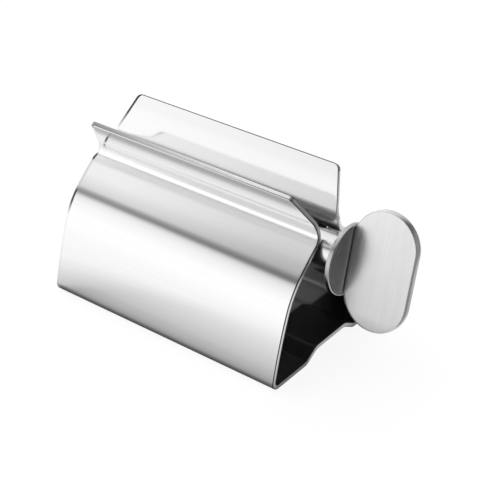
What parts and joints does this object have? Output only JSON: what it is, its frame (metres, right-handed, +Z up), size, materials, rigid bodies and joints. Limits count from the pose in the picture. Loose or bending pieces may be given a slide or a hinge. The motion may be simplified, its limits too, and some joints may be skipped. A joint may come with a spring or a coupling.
{
  "type": "toothpaste dispenser",
  "caption": "Free-standing toothpaste dispenser: a bent stainless steel stand with a narrow throat, and a slotted winding key with a collar and a flat handle that rolls up the tube.",
  "frame": {"origin": "middle of the overall box, on the surface that the stand rests on", "axes": "+X along the length of the stand towards the handle of the key, +Y from the front wall with the low lip to the rear wall with the tall plate, +Z up"},
  "size_m": [0.0928, 0.0436, 0.0466],
  "materials": {
    "polished_sheet": "polished stainless steel sheet",
    "brushed_key": "finely brushed stainless steel"
  },
  "bodies": {
    "stand": {"body_sheet": "polished_sheet"},
    "key": {"slotted_shaft": "brushed_key", "collar_disc": "brushed_key", "handle_plate": "brushed_key"}
  },
  "joints": [
    {"name": "key_turn", "type": "hinge", "parent": "stand", "child": "key", "pos_m": [0, -0.00009, 0.0284], "axis": [1, 0, 0], "continuous": true}
  ]
}
